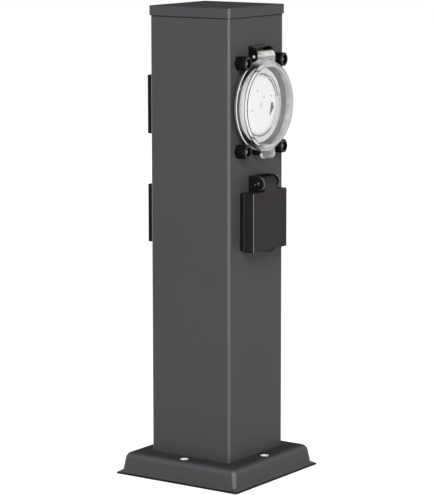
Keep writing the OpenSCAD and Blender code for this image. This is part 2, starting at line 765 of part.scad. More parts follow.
cover_wall_r = rim_r - 0.3;
shoulder_out = cover_front - 2;
cover_back = rim_front + 0.15;
latch_y = -rim_r - 6.3;
latch_front = cover_front - 2.3;
latch_back = catch_out + 0.2;
latch_t = 1.6;
latch_corner = 4;

// Side view of the clear knuckle: a full round nose above the pin and a slim round under it,
// which turns clear of the rim
module knuckle_profile() {
    r = 4.4;
    nose = latch_front - cover_pin_out - r;
    translate([cover_pin_out, cover_pin_up]) circle(cover_pin_up - rim_r - 0.2);
    translate([cover_pin_out + nose, cover_pin_up]) intersection() {
        circle(r);
        translate([-r, 0]) square(2 * r);
    }
    translate([cover_pin_out, cover_pin_up]) square([nose, r]);
    translate([cover_pin_out - 0.8, rim_r - r])
        square([latch_front - cover_pin_out + 0.8, cover_pin_up - rim_r + r + tiny]);
}

module timer_cover() color(clear_plastic) on_front(timer_z) difference() {
    union() {
        difference() {
            union() {
                rotate_extrude() polygon([
                    [0, cover_back], [cover_wall_r, cover_back], [cover_wall_r - 0.7, shoulder_out],
                    [window_r, cover_front], [0, cover_front]
                ]);
                across(-knuckle_w / 2, knuckle_w / 2) knuckle_profile();
                // Latch tab with round lower corners and a lip that reaches back under the catch
                translate([0, 3 - rim_r, latch_front - latch_t]) mirror([0, 1, 0]) linear_extrude(latch_t)
                    arch_rect(latch_w, 3 - latch_y - rim_r, latch_corner);
                translate([latch_corner - latch_w / 2, latch_y, latch_back])
                    cube([latch_w - 2 * latch_corner, latch_t, latch_front - latch_back]);
            }
            rotate_extrude() polygon([
                [0, cover_back - 1], [cover_wall_r - window_t, cover_back - 1],
                [cover_wall_r - window_t - 0.6, shoulder_out - 0.4], [window_r - 0.8, cover_front - window_t],
                [0, cover_front - window_t]
            ]);
        }
    }
    translate([0, cover_pin_up, cover_pin_out]) x_bar(cover_pin_d / 2 + turn_gap, -20, 20);
}

module cover_pin() color(bright_steel) on_front(timer_z) translate([0, cover_pin_up, cover_pin_out])
    x_bar(cover_pin_d / 2, -ear_in - ear_t, ear_in + ear_t);

// SOCKETS

flange_front = plate_gasket_t + flange_plate_t;
lid_back = flange_front + lid_gap;
collar_step = collar_out - 5.5;
carrier_r = barrel_r - 1.1;
cup_in = carrier_r - 1;
well_floor = collar_out - well_depth;
barrel_depth = 12;
roll_gap = 0.2;
lid_ear_in = roll_w / 2 + roll_gap;
hinge_out = lid_ear_in + lid_ear_t;
hinge_back = lid_pin_out - roll_r - 0.5;
lid_w = plate_w + 2 * lid_over;
lid_h = plate_h + 2 * lid_over;
hinge_low = lid_h / 2 + 0.3;

module socket_gasket(name) color(rubber_black) on_socket(name) difference() {
    linear_extrude(plate_gasket_t) round_rect(plate_w - 0.4, plate_h - 0.4, plate_corner);
    disc(barrel_hole_r + 0.2, -1, 2);
    at_corners(screw_dx, screw_dy) disc(screw_r + seat_gap, -1, 2);
}

module socket_frame(name) color(black_plastic) on_socket(name) difference() {
    union() {
        translate([0, 0, plate_gasket_t]) intersection() {
            soft_top(plate_w, plate_h, flange_plate_t, plate_edge);
            linear_extrude(flange_plate_t + 1) round_rect(plate_w, plate_h, plate_corner);
        }
        disc(barrel_r, -barrel_depth, collar_out);
        // Hinge block between the ears
        translate([-lid_ear_in - tiny, hinge_low, plate_gasket_t])
            cube([2 * (lid_ear_in + tiny), lid_pin_up + lid_ear_r - hinge_low, hinge_back - plate_gasket_t]);
        translate([-hinge_out, plate_h / 2 - 2, plate_gasket_t])
            cube([2 * hinge_out, hinge_low - plate_h / 2 + 3, flange_plate_t]);
        for (s = [-1, 1]) across(s > 0 ? lid_ear_in : -hinge_out, s > 0 ? hinge_out : -lid_ear_in) {
            translate([plate_gasket_t, hinge_low])
                square([lid_pin_out - 0.5 - plate_gasket_t, lid_pin_up + lid_ear_r - hinge_low]);
            translate([lid_pin_out, lid_pin_up]) circle(lid_ear_r);
            translate([lid_pin_out - 1, lid_pin_up]) square([1, lid_ear_r]);
        }
    }
    disc(well_r, 0, collar_out + 1);
    disc(carrier_r + seat_gap, -barrel_depth - 1, collar_step);
    at_corners(screw_dx, screw_dy) {
        disc(screw_r + seat_gap, -1, flange_front + 1);
        translate([0, 0, flange_front - 1.35])
            cylinder(r1 = screw_r + seat_gap, r2 = 2 * screw_r + seat_gap, h = 1.36);
    }
    translate([0, lid_pin_up, lid_pin_out]) x_bar(lid_pin_d / 2 + thread_gap, -30, 30);
}

module contact_carrier(name) color(black_plastic) on_socket(name) difference() {
    union() {
        difference() {
            disc(carrier_r, -carrier_depth, collar_step);
            disc(cup_in, well_floor, collar_step + 1);
        }
        // Ribs that guide the plug
        intersection() {
            disc(cup_in + 0.5, well_floor - 1, collar_out - 8);
            for (s = [-1, 1]) translate([s > 0 ? cup_in - 1.9 : -cup_in - 1, -2.5, well_floor - tiny])
                cube([2.9, 5, collar_out - 8 - well_floor]);
        }
    }
    for (s = [-1, 1]) translate([s * pin_pitch / 2, 0, 0]) {
        disc(pin_hole / 2, well_floor - 4, well_floor + 1);
        disc(contact_out + seat_gap, -carrier_depth + 1.5, well_floor - 3);
    }
    // Slots that the earth clip comes out of
    slot_x = -clip_w / 2 - 0.3;
    for (y = [clip_at - 1.8, -clip_at - 0.8]) translate([slot_x, y, -carrier_depth - 1])
        cube([clip_w + 0.6, 2.6, carrier_depth + 1 + well_floor + 1]);
    translate([slot_x, -clip_at - 0.8, -carrier_depth - 1]) cube([clip_w + 0.6, 2 * clip_at + 1.6, 2.2]);
}

contact_out = pin_hole / 2 + 0.6;
contact_wall = 0.9;

module contact_tubes() color(brass_yellow) for (name = socket_names) on_socket(name)
    for (s = [-1, 1]) translate([s * pin_pitch / 2, 0, 0]) difference() {
        ring(contact_out, contact_out - contact_wall, -carrier_depth + 1.6, well_floor - 3.3);
        translate([-0.4, 0, -carrier_depth + 6]) cube([0.8, 5, carrier_depth]);
    }

clip_w = 4.5;
clip_t = 0.6;
clip_at = cup_in - 1.5;

// One springy strip runs behind the carrier and comes up through both slots
module clip_profile() {
    back = -carrier_depth + 0.3;
    for (s = [-1, 1]) mirror([0, s > 0 ? 0 : 1]) {
        polygon([
            [back, clip_at - clip_t], [well_floor, clip_at - clip_t], [well_floor + 3.2, clip_at - 1.9],
            [well_floor + 6.5, clip_at + 0.1], [well_floor + 6.5, clip_at + 0.7],
            [well_floor + 3.2, clip_at - 1.2], [well_floor, clip_at], [back, clip_at]
        ]);
    }
    translate([back, -clip_at]) square([clip_t, 2 * clip_at]);
}

module earth_clips() color(brass_yellow) for (name = socket_names) on_socket(name)
    across(-clip_w / 2, clip_w / 2) clip_profile();

// A cup behind the wall that closes the contact carrier and holds it in its barrel
module carrier_cover(name) color(black_plastic) on_socket(name) difference() {
    disc(barrel_r, -carrier_depth - 2, -barrel_depth);
    disc(carrier_r + seat_gap, -carrier_depth, -barrel_depth + 1);
    for (s = [-1, 1]) translate([s * pin_pitch / 2, 0, 0]) disc(1.8, -carrier_depth - 3, -carrier_depth + 1);
    translate([0, -clip_at + 4, 0]) disc(1.8, -carrier_depth - 3, -carrier_depth + 1);
}

module socket_screws() color(bright_steel) for (name = socket_names) on_socket(name)
    at_corners(screw_dx, screw_dy) difference() {
        union() {
            disc(screw_r, -6, flange_front - 0.1);
            translate([0, 0, flange_front - 1.35]) cylinder(r1 = screw_r, r2 = 2 * screw_r, h = 1.3);
        }
        for (a = [45, 135]) rotate(a) translate([-1.6, -0.3, flange_front - 0.8]) cube([3.2, 0.6, 1]);
    }

spring_wire = 0.8;
spring_r = lid_pin_d / 2 + spring_wire / 2 + 0.45;
spring_turns = 5;
spring_pitch = 1.35;
spring_pocket = spring_turns * spring_pitch + spring_wire + 1;

// Point on the centre line of the spring after t turns
function spring_point(t) = [t * spring_pitch, spring_r * cos(360 * t), spring_r * sin(360 * t)];

// One unbroken hexagonal tube along the helix, with its start and end capped
module spring_coil() {
    rings = spring_turns * 12;
    sides = 6;
    points = [for (i = [0:rings]) let (t = i / 12, out = [0, cos(360 * t), sin(360 * t)])
        for (j = [0:sides - 1]) let (turn = 360 * j / sides)
            spring_point(t) + spring_wire / 2 * (out * cos(turn) + [sin(turn), 0, 0])];
    last = rings * sides;
    faces = concat(
        [[for (j = [0:sides - 1]) j]],
        [for (i = [0:rings - 1], j = [0:sides - 1]) let (a = i * sides + j, b = i * sides + (j + 1) % sides)
            each [[a, a + sides, b], [b, a + sides, b + sides]]],
        [[for (j = [sides - 1:-1:0]) last + j]]
    );
    polyhedron(points, faces);
}

module lid_springs() color(bright_steel) for (name = socket_names) on_socket(name)
    translate([-roll_w / 2 + spring_wire / 2 + 0.1, lid_pin_up, lid_pin_out]) spring_coil();

module lid_pins() color(bright_steel) for (name = socket_names) on_socket(name)
    translate([0, lid_pin_up, lid_pin_out]) x_bar(lid_pin_d / 2, -hinge_out, hinge_out);

// Side view of the arm that joins the lid to its roll
module arm_profile() {
    top = lid_h / 2;
    translate([lid_pin_out, lid_pin_up]) circle(roll_r);
    polygon([
        [lid_front, top - lid_wall], [lid_front, top],
        [lid_pin_out + 0.94 * roll_r, lid_pin_up - 0.34 * roll_r],
        [lid_pin_out - 0.75 * roll_r, lid_pin_up - 0.66 * roll_r],
        [lid_pin_out - 0.8, top], [lid_pin_out - 0.8, top - lid_wall]
    ]);
}

tab_t = 2.6;
tab_r = (tab_w * tab_w / 4 + tab_drop * tab_drop) / (2 * tab_drop);

// The low part of a wide disc, which hangs from the lid's front edge
module finger_tab() translate([0, -lid_h / 2, lid_front - 0.3 - tab_t]) linear_extrude(tab_t) intersection() {
    translate([0, tab_r - tab_drop]) circle(tab_r, $fn = 96);
    translate([-tab_w / 2, -tab_drop - 1]) square([tab_w, tab_drop + 2]);
}

module socket_lid(name) color(lid_plastic) on_socket(name) difference() {
    depth = lid_front - lid_back;
    union() {
        difference() {
            translate([0, 0, lid_back]) intersection() {
                soft_top(lid_w, lid_h, depth, lid_edge);
                linear_extrude(depth + 1) round_rect(lid_w, lid_h, lid_edge);
            }
            translate([-lid_w / 2 + lid_wall, -lid_h / 2 + lid_wall, lid_back - 1])
                cube([lid_w - 2 * lid_wall, lid_h - 2 * lid_wall, depth + 1 - lid_wall]);
            // The top wall is cut back behind the arm, to pass the collar as the lid opens
            translate([-lid_ear_in, lid_h / 2 - lid_wall - 1, lid_back - 1])
                cube([2 * lid_ear_in, lid_wall + 2, lid_pin_out - 2.3 - lid_back + 1]);
        }
        across(-roll_w / 2, roll_w / 2) arm_profile();
        finger_tab();
    }
    translate([0, lid_pin_up, lid_pin_out]) {
        x_bar(lid_pin_d / 2 + turn_gap, -20, 20);
        x_bar(spring_r + spring_wire / 2 + 0.4, -roll_w / 2 - 1, -roll_w / 2 + spring_pocket);
    }
}

module lid_seal(name) color(rubber_black) on_socket(name)
    ring(well_r + 1.65, well_r - 1.5, collar_out + 0.2, lid_front - lid_wall);

column_tube();
top_cap();
cap_plug();
foot_flange();
base_plate();
flange_bolts_set();
flange_washers();
gland_body();
gland_nut();
gland_seal();
gland_locknut();
earth_stud();
earth_nut();
terminal_bracket();
terminal_block();
terminal_screws();
timer_carrier();
timer_nuts();
timer_screws();
timer_gasket();
timer_housing();
timer_rear_cover();
movement_plate();
timer_motor();
motor_pinion();
timer_switch();
switch_lever();
dial_arbor();
timer_dial();
trippers();
cover_seal();
cover_pin();
timer_cover();
socket_screws();
lid_pins();
lid_springs();
contact_tubes();
earth_clips();
for (name = socket_names) {
    socket_gasket(name);
    socket_frame(name);
    contact_carrier(name);
    carrier_cover(name);
    socket_lid(name);
    lid_seal(name);
}
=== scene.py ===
import bpy
import json
import math
from mathutils import Matrix, Vector


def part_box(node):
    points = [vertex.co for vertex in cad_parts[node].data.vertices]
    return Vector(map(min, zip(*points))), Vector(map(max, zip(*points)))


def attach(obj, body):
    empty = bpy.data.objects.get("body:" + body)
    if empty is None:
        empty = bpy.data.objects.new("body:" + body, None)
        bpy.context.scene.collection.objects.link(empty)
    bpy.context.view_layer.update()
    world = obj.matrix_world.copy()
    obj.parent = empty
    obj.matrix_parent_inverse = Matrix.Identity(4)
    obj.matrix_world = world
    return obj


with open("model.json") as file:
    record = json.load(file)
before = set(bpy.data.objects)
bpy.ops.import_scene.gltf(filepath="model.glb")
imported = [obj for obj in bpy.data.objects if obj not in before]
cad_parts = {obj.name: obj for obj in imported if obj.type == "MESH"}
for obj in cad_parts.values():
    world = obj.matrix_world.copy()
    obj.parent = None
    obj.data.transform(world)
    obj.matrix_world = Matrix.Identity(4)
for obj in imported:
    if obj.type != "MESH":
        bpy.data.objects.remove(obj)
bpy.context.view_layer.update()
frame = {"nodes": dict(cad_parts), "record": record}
nodes = frame["nodes"]
scene = bpy.context.scene
MM = 0.001
SOCKETS = ["front", "back_upper", "back_lower"]


def ends(node):
    """The low and high corner of a node's box, in millimetres."""
    low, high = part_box(node)
    return low / MM, high / MM


def middle(node):
    low, high = ends(node)
    return (low + high) / 2


# Places in millimetres that the materials and the printing use
WALL = ends("column_tube")[1].y
SKIRT_Z = ends("top_cap")[0].z
LIP_OUT = ends("base_plate")[1].x
TIMER_Z = middle("timer_dial").z
DIAL_FACE = ends("timer_dial")[0].y
DIAL_R = ends("timer_dial")[1].x
RIM_R = ends("timer_housing")[1].x
ROOF_UP = ends("timer_housing")[1].z - TIMER_Z
NUT_FACE = ends("timer_nuts")[0].y
COVER_FRONT = -ends("timer_cover")[0].y - WALL
SOCKET_Z = {name: middle("socket_gasket_" + name).z for name in SOCKETS}

# The base: heights just over its lip and just over its top, and its anchor holes
OVER_LIP, OVER_BASE = 8, 22
ANCHOR_AT = 48.5
ANCHOR_BARE_R, ANCHOR_DARK_R = 3.6, 5.4

# The timer, from its axis: studs, half of the latch, the cover's wall inside and its knuckle
STUD_X, STUD_Z = 26.7, 36.2
LATCH_HALF = 9.8
COVER_WALL_IN = 32
KNUCKLE_UP = 40

# The dial: the tripper track, the run of pressed trippers, ticks, numbers, spots and lines
TRIPPERS = 96
TRIPPER_PROUD = DIAL_FACE - ends("trippers")[0].y
HOURS = 24
TRACK_IN, TRACK_OUT = 23.5, 27.7
PRESSED_IN, PRESSED_OUT = 24.6, 25.8
TICK_END = 30.2
TICK_HALF_ANGLE = 0.85
NUMBER_R, NUMBER_SIZE = 21.9, 2.7
SPOT_R, SPOT_SIDES = 0.8, 12
LINE_IN, LINE_OUT = 25.0, 26.2
INK_LIFT = 0.03

# A socket, out of the wall and up from its middle: hinge pin, ears and where the lid's edges roll
LID_PIN_OUT, LID_PIN_UP = 9.8, 31.4
EAR_IN = 10.5
NOSE_R = 5.4
ROLL_SIDE = 23.6
ROLL_TOP, ROLL_FOOT = -23.2, -26.6


# Colours
def linear(r, g, b):
    """A colour read in sRGB steps of 255, as linear light."""
    out = []
    for c in (r, g, b):
        c = c / 255
        out.append(c / 12.92 if c <= 0.04045 else ((c + 0.055) / 1.055) ** 2.4)
    return (*out, 1)


def tone(colour, factor):
    return tuple(min(1, c * factor) for c in colour[:3]) + (1,)


# Materials
class Shader:
    """A material with its Principled shader and short ways to add to it.

    Masks run from 0 to 1. Coordinates are the object's own, in millimetres.
    """

    def __init__(self, name):
        self.mat = bpy.data.materials.new(name)
        self.mat.use_nodes = True
        self.tree = self.mat.node_tree
        self.bsdf = self.tree.nodes["Principled BSDF"]
        self.out = self.tree.nodes["Material Output"]
        self.coords = self.add("ShaderNodeTexCoord").outputs["Object"]
        self.x, self.y, self.z = self.split(self.coords, 1 / MM)
        normal = self.add("ShaderNodeNewGeometry").outputs["Normal"]
        self.nx, self.ny, self.nz = self.split(normal)

    def add(self, kind, **values):
        node = self.tree.nodes.new(kind)
        for key, value in values.items():
            if key in node.inputs:
                node.inputs[key].default_value = value
            else:
                setattr(node, key, value)
        return node

    def link(self, a, b):
        self.tree.links.new(a, b)

    def feed(self, value, socket):
        if isinstance(value, (int, float, tuple)):
            socket.default_value = value
        else:
            self.link(value, socket)

    def noise(self, scale, detail, stretch=None):
        node = self.add("ShaderNodeTexNoise", Scale=scale, Detail=detail)
        source = self.coords
        if stretch:
            mapping = self.add("ShaderNodeMapping", Scale=stretch)
            self.link(source, mapping.inputs["Vector"])
            source = mapping.outputs["Vector"]
        self.link(source, node.inputs["Vector"])
        return node.outputs["Fac"]

    def remap(self, value, start, end, low, high, curve="LINEAR"):
        node = self.add("ShaderNodeMapRange", interpolation_type=curve)
        self.link(value, node.inputs["Value"])
        for key, number in (("From Min", start), ("From Max", end), ("To Min", low), ("To Max", high)):
            node.inputs[key].default_value = number
        return node.outputs["Result"]

    def ramp(self, value, low, high, start=0.35, end=0.65):
        """A noise's middle range stretched over low to high."""
        return self.remap(value, start, end, low, high)

    def fade(self, value, start, end):
        """From 0 at start to 1 at end, whichever of the two is the higher one."""
        if end > start:
            return self.remap(value, start, end, 0, 1, "SMOOTHSTEP")
        return self.remap(value, end, start, 1, 0, "SMOOTHSTEP")

    def band(self, value, low, high, soft=0.1):
        """1 between low and high."""
        risen = self.fade(value, low - soft, low + soft)
        return self.both(risen, self.fade(value, high + soft, high - soft))

    def calc(self, operation, a, b=0.0):
        node = self.add("ShaderNodeMath", operation=operation)
        self.feed(a, node.inputs[0])
        self.feed(b, node.inputs[1])
        return node.outputs[0]

    def chain(self, operation, values):
        last = values[0]
        for value in values[1:]:
            last = self.calc(operation, last, value)
        return last

    def both(self, *masks):
        """Where all the masks are: their product."""
        return self.chain("MULTIPLY", masks)

    def most(self, *values):
        """Where any of the masks is: the highest value."""
        return self.chain("MAXIMUM", values)

    def size(self, value):
        """The value without its sign."""
        return self.calc("ABSOLUTE", value)

    def less(self, a, b):
        return self.calc("SUBTRACT", a, b)

    def split(self, vector, factor=1.0):
        scaled = self.add("ShaderNodeVectorMath", operation="SCALE")
        self.link(vector, scaled.inputs[0])
        scaled.inputs["Scale"].default_value = factor
        node = self.add("ShaderNodeSeparateXYZ")
        self.link(scaled.outputs[0], node.inputs[0])
        return node.outputs[0], node.outputs[1], node.outputs[2]

    def away(self, a, b, at_a=0.0, at_b=0.0):
        """Distance of the point (a, b) from (at_a, at_b)."""
        node = self.add("ShaderNodeCombineXYZ")
        self.feed(self.less(a, at_a), node.inputs[0])
        self.feed(self.less(b, at_b), node.inputs[1])
        length = self.add("ShaderNodeVectorMath", operation="LENGTH")
        self.link(node.outputs[0], length.inputs[0])
        return length.outputs["Value"]

    def mix(self, fac, a, b):
        """A colour between a and b."""
        node = self.add("ShaderNodeMix", data_type="RGBA")
        self.feed(fac, node.inputs[0])
        self.feed(a, node.inputs[6])
        self.feed(b, node.inputs[7])
        return node.outputs[2]

    def between(self, fac, a, b):
        """A number between a and b."""
        node = self.add("ShaderNodeMix", data_type="FLOAT")
        self.feed(fac, node.inputs[0])
        self.feed(a, node.inputs[2])
        self.feed(b, node.inputs[3])
        return node.outputs[0]

    def color(self, socket):
        self.link(socket, self.bsdf.inputs["Base Color"])

    def set(self, **values):
        for key, value in values.items():
            self.feed(value, self.bsdf.inputs[key.replace("_", " ")])

    def bump(self, *layers):
        """Layers of (height, strength, distance in millimetres)."""
        last = None
        for height, strength, distance in layers:
            node = self.add("ShaderNodeBump", Strength=strength, Distance=distance * MM)
            self.link(height, node.inputs["Height"])
            if last:
                self.link(last, node.inputs["Normal"])
            last = node.outputs["Normal"]
        self.link(last, self.bsdf.inputs["Normal"])

    def clouded(self, colour, spread, scale=60):
        cloud = self.ramp(self.noise(scale, 3), 0, 1)
        return self.mix(cloud, tone(colour, 1 - spread), tone(colour, 1 + spread))

    def upright_corner(self):
        """1 on the rounded upright corners, where the normal points along neither axis."""
        return self.fade(self.calc("MINIMUM", self.size(self.nx), self.size(self.ny)), 0.25, 0.5)


def plastic(name, colour, rough, level, grain=2600, depth=0.02, spread=0.12):
    s = Shader(name)
    s.color(s.clouded(colour, spread))
    s.set(Roughness=s.ramp(s.noise(grain, 2), rough - 0.05, rough + 0.05), Specular_IOR_Level=level)
    s.bump((s.noise(grain, 2), 0.35, depth))
    return s


def metal(name, colour, rough, metallic=1.0):
    s = Shader(name)
    s.color(s.mix(s.ramp(s.noise(90, 3), 0, 1), tone(colour, 0.92), tone(colour, 1.06)))
    s.set(Metallic=metallic, Roughness=s.ramp(s.noise(700, 3), rough - 0.07, rough + 0.1))
    s.bump((s.noise(900, 3), 0.15, 0.01))
    return s


def powder_coat():
    """Grey powder coat: a fine grain on a slow unevenness of tone, glossier on the upright corners."""
    s = Shader("powder_coat")
    base = linear(70, 71, 73)
    slow = s.mix(s.ramp(s.noise(14, 2), 0, 1), tone(base, 0.97), tone(base, 1.03))
    grain = s.mix(s.ramp(s.noise(1500, 2), 0, 1), tone(base, 0.94), tone(base, 1.06))
    colour = s.mix(0.5, slow, grain)
    # Painted shade on the tops: the top of the cap and, darker, the top of the base
    foot = s.fade(s.z, OVER_BASE + 2, OVER_BASE - 2)
    over_lip = s.fade(s.z, OVER_LIP, OVER_LIP + 4)
    top = s.both(s.fade(s.nz, 0.6, 0.98), over_lip)
    colour = s.mix(top, colour, s.mix(foot, tone(base, 0.94), tone(base, 0.66)))
    # A painted highlight on the rounded edge of the base's top
    shoulder_highlight = s.both(s.band(s.nz, 0.35, 0.8, 0.15), foot, over_lip)
    colour = s.mix(shoulder_highlight, colour, tone(base, 1.2))
    # Shade in the gap under the cap's skirt, along the lip's edge and at the ground
    gap = s.band(s.z, SKIRT_Z - 1.0, SKIRT_Z, 0.12)
    colour = s.mix(gap, colour, tone(base, 0.25))
    outermost = s.most(s.size(s.x), s.size(s.y))
    lip = s.both(s.fade(s.z, OVER_LIP, OVER_LIP - 2), s.fade(outermost, LIP_OUT - 1.2, LIP_OUT - 0.8))
    colour = s.mix(s.most(lip, s.fade(s.z, 1.2, 0.8)), colour, tone(base, 0.1))
    # Anchor holes: a bare metal rim, painted white as its glint, in a darker ring
    hole = s.calc(
        "MINIMUM",
        s.away(s.size(s.x), s.y, ANCHOR_AT, 0.0),
        s.away(s.x, s.size(s.y), 0.0, ANCHOR_AT),
    )
    ring = s.both(s.fade(hole, ANCHOR_DARK_R, ANCHOR_DARK_R - 1.2), s.band(s.z, 16, 19.5, 0.3))
    colour = s.mix(ring, colour, tone(base, 0.3))
    bare_rim_glint = s.both(s.fade(hole, ANCHOR_BARE_R, ANCHOR_BARE_R - 0.15), ring)
    s.color(s.mix(bare_rim_glint, colour, linear(250, 250, 248)))
    corner = s.upright_corner()
    s.set(
        Roughness=s.between(corner, s.ramp(s.noise(900, 2), 0.5, 0.6), s.between(foot, 0.32, 0.5)),
        Specular_IOR_Level=s.between(corner, s.between(top, 0.12, 0.0), 0.7),
    )
    s.bump((s.noise(1300, 2), 0.25, 0.03), (s.noise(260, 1), 0.12, 0.05))
    return s


def lid_moulding(name):
    """Warm black moulding of a lid, shiny on its upright edges, with painted shade on its sides, on
    its knuckle's top and along two of its edges, and a painted highlight near the rear of its sides.
    """
    s = Shader("lid_moulding_" + name)
    up = s.less(s.z, SOCKET_Z[name])
    out = s.less(s.size(s.y), WALL)
    colour = s.mix(s.fade(up, 2, 16), s.clouded(linear(36, 35, 33), 0.04, 40), linear(40, 36, 35))
    # Painted shade on the top of the knuckle, between the ears
    knuckle = s.both(
        s.fade(s.size(s.x), EAR_IN, EAR_IN - 1),
        s.fade(up, LID_PIN_UP + 1, LID_PIN_UP + 4),
    )
    colour = s.mix(knuckle, colour, linear(16, 15, 15))
    # Painted shade: the sides are darker than the front
    side = s.fade(s.size(s.ny), 0.45, 0.2)
    colour = s.mix(side, colour, linear(31, 30, 30))
    # A painted highlight along the rear of the sides, next to the frame
    rear_highlight = s.both(side, s.band(out, 3.6, 4.9))
    colour = s.mix(rear_highlight, colour, linear(54, 54, 54))
    # Painted shade: a dark line where the edge on the right of a user who faces the lid and the lower
    # edge roll away
    across = s.calc("MULTIPLY", s.x, 1 if name == "front" else -1)
    lower_edge = s.both(s.fade(up, ROLL_TOP, ROLL_TOP - 0.8), s.fade(up, ROLL_FOOT, ROLL_FOOT + 0.4))
    roll = s.most(s.fade(across, ROLL_SIDE, ROLL_SIDE + 0.6), lower_edge)
    s.color(s.mix(s.both(roll, 0.85), colour, linear(12, 12, 12)))
    corner = s.upright_corner()
    s.set(
        Roughness=s.between(corner, s.ramp(s.noise(1900, 2), 0.42, 0.52), 0.26),
        Specular_IOR_Level=s.between(corner, 0.1, 1.6),
    )
    s.bump((s.noise(1900, 2), 0.35, 0.03))
    return s


def socket_moulding(name):
    """Black moulding of a socket's frame, with a painted highlight along the noses of its hinge ears.
    """
    s = Shader("socket_moulding_" + name)
    up = s.less(s.z, SOCKET_Z[name])
    out = s.less(s.size(s.y), WALL)
    # A painted highlight along the rounded noses of the ears
    nose_highlight = s.both(
        s.fade(s.away(out, up, LID_PIN_OUT, LID_PIN_UP), NOSE_R, NOSE_R + 0.2),
        s.fade(s.size(s.x), EAR_IN, EAR_IN + 0.7),
        s.fade(out, LID_PIN_OUT - 1, LID_PIN_OUT + 2.5),
        s.fade(up, LID_PIN_UP - 7, LID_PIN_UP - 5),
    )
    colour = s.mix(nose_highlight, s.clouded(linear(17, 17, 18), 0.15), linear(92, 90, 89))
    # A pale spot on the ear's side, beside the hinge pin
    pale_spot = s.both(
        s.fade(s.away(out, up, LID_PIN_OUT - 3.1, LID_PIN_UP - 1.1), 0.9, 0.5),
        s.fade(s.size(s.x), EAR_IN + 0.5, EAR_IN + 1.5),
    )
    s.color(s.mix(pale_spot, colour, linear(110, 110, 110)))
    s.set(Roughness=s.ramp(s.noise(2600, 2), 0.33, 0.43), Specular_IOR_Level=0.15)
    s.bump((s.noise(2600, 2), 0.35, 0.02))
    return s


def rim_moulding():
    """Black moulding of the timer's housing, with painted highlights round its rim and along its roof
    and a painted reflection on the right half of its rim.
    """
    s = Shader("rim_moulding")
    up = s.less(s.z, TIMER_Z)
    reach = s.away(s.x, up)
    # Painted highlights: a line round the rim's edge and one along the roof's top edge
    line = s.both(s.band(reach, RIM_R - 0.4, RIM_R + 0.3), s.fade(s.y, -WALL, -WALL - 2))
    roof = s.both(s.fade(up, ROOF_UP - 0.9, ROOF_UP - 0.6), s.fade(s.y, -WALL - 3.4, -WALL - 4.1))
    edge_highlight = s.most(s.both(line, 0.6), s.both(roof, 0.4))
    colour = s.mix(edge_highlight, s.clouded(linear(10, 10, 11), 0.15), linear(110, 110, 112))
    # A painted reflection on the right half of the rim, under the cover
    cover_reflection = s.both(
        s.fade(s.x, 6, 24),
        s.fade(reach, RIM_R - 0.5, RIM_R - 0.9),
        s.fade(s.y, -WALL - 1, -WALL - 1.6),
    )
    s.color(s.mix(cover_reflection, colour, linear(88, 86, 84)))
    s.set(Roughness=s.ramp(s.noise(2600, 2), 0.33, 0.43), Specular_IOR_Level=0.12)
    s.bump((s.noise(2600, 2), 0.35, 0.02))
    return s


def black_zinc():
    """Black plating, with painted highlights round the nuts' faces and at the middle of the studs."""
    s = Shader("black_zinc")
    up = s.less(s.z, TIMER_Z)
    reach = s.away(s.size(s.x), s.size(up), STUD_X, STUD_Z)
    # A painted highlight on the chamfer round each nut's face
    rim = s.both(s.band(reach, 4.3, 4.7), s.fade(s.y, NUT_FACE + 0.5, NUT_FACE + 0.3))
    colour = s.mix(rim, s.clouded(linear(9, 9, 10), 0.2, 120), linear(96, 96, 98))
    # A painted highlight on the end of each stud
    stud_end_highlight = s.both(s.fade(reach, 2.2, 1.2), s.fade(s.y, -WALL - 7, -WALL - 7.4))
    s.color(s.mix(stud_end_highlight, colour, linear(140, 140, 142)))
    s.set(Roughness=s.ramp(s.noise(900, 2), 0.34, 0.46), Specular_IOR_Level=0.1)
    s.bump((s.noise(900, 2), 0.2, 0.02))
    return s


def dial_moulding():
    """Off-white moulding. The tripper track and the sides of the trippers are in shade."""
    s = Shader("dial_moulding")
    reach = s.away(s.x, s.less(s.z, TIMER_Z))
    colour = s.clouded(linear(245, 245, 242), 0.01)
    sunk = s.fade(s.y, DIAL_FACE + 1.2, DIAL_FACE + 1.5)
    sideways = s.fade(s.size(s.ny), 0.8, 0.6)
    shade = s.both(s.band(reach, TRACK_IN, TRACK_OUT), s.most(sunk, sideways))
    colour = s.mix(shade, colour, linear(70, 71, 70))
    # Painted shadow on the heads of the pressed trippers, sunk in their track
    pressed = s.both(
        s.band(reach, PRESSED_IN, PRESSED_OUT, 0.15),
        s.band(s.y, DIAL_FACE + 0.5, DIAL_FACE + 1.1),
    )
    colour = s.mix(pressed, colour, linear(20, 21, 20))
    ribs = s.ramp(s.noise(900, 1, stretch=(1, 0.1, 1)), 0, 0.5)
    knurl = s.both(s.fade(reach, DIAL_R - 0.6, DIAL_R - 0.3), ribs)
    s.color(s.mix(knurl, colour, linear(180, 181, 180)))
    s.set(Roughness=s.ramp(s.noise(2200, 2), 0.42, 0.5), Specular_IOR_Level=0.3)
    s.bump((s.noise(2200, 2), 0.3, 0.01))
    return s


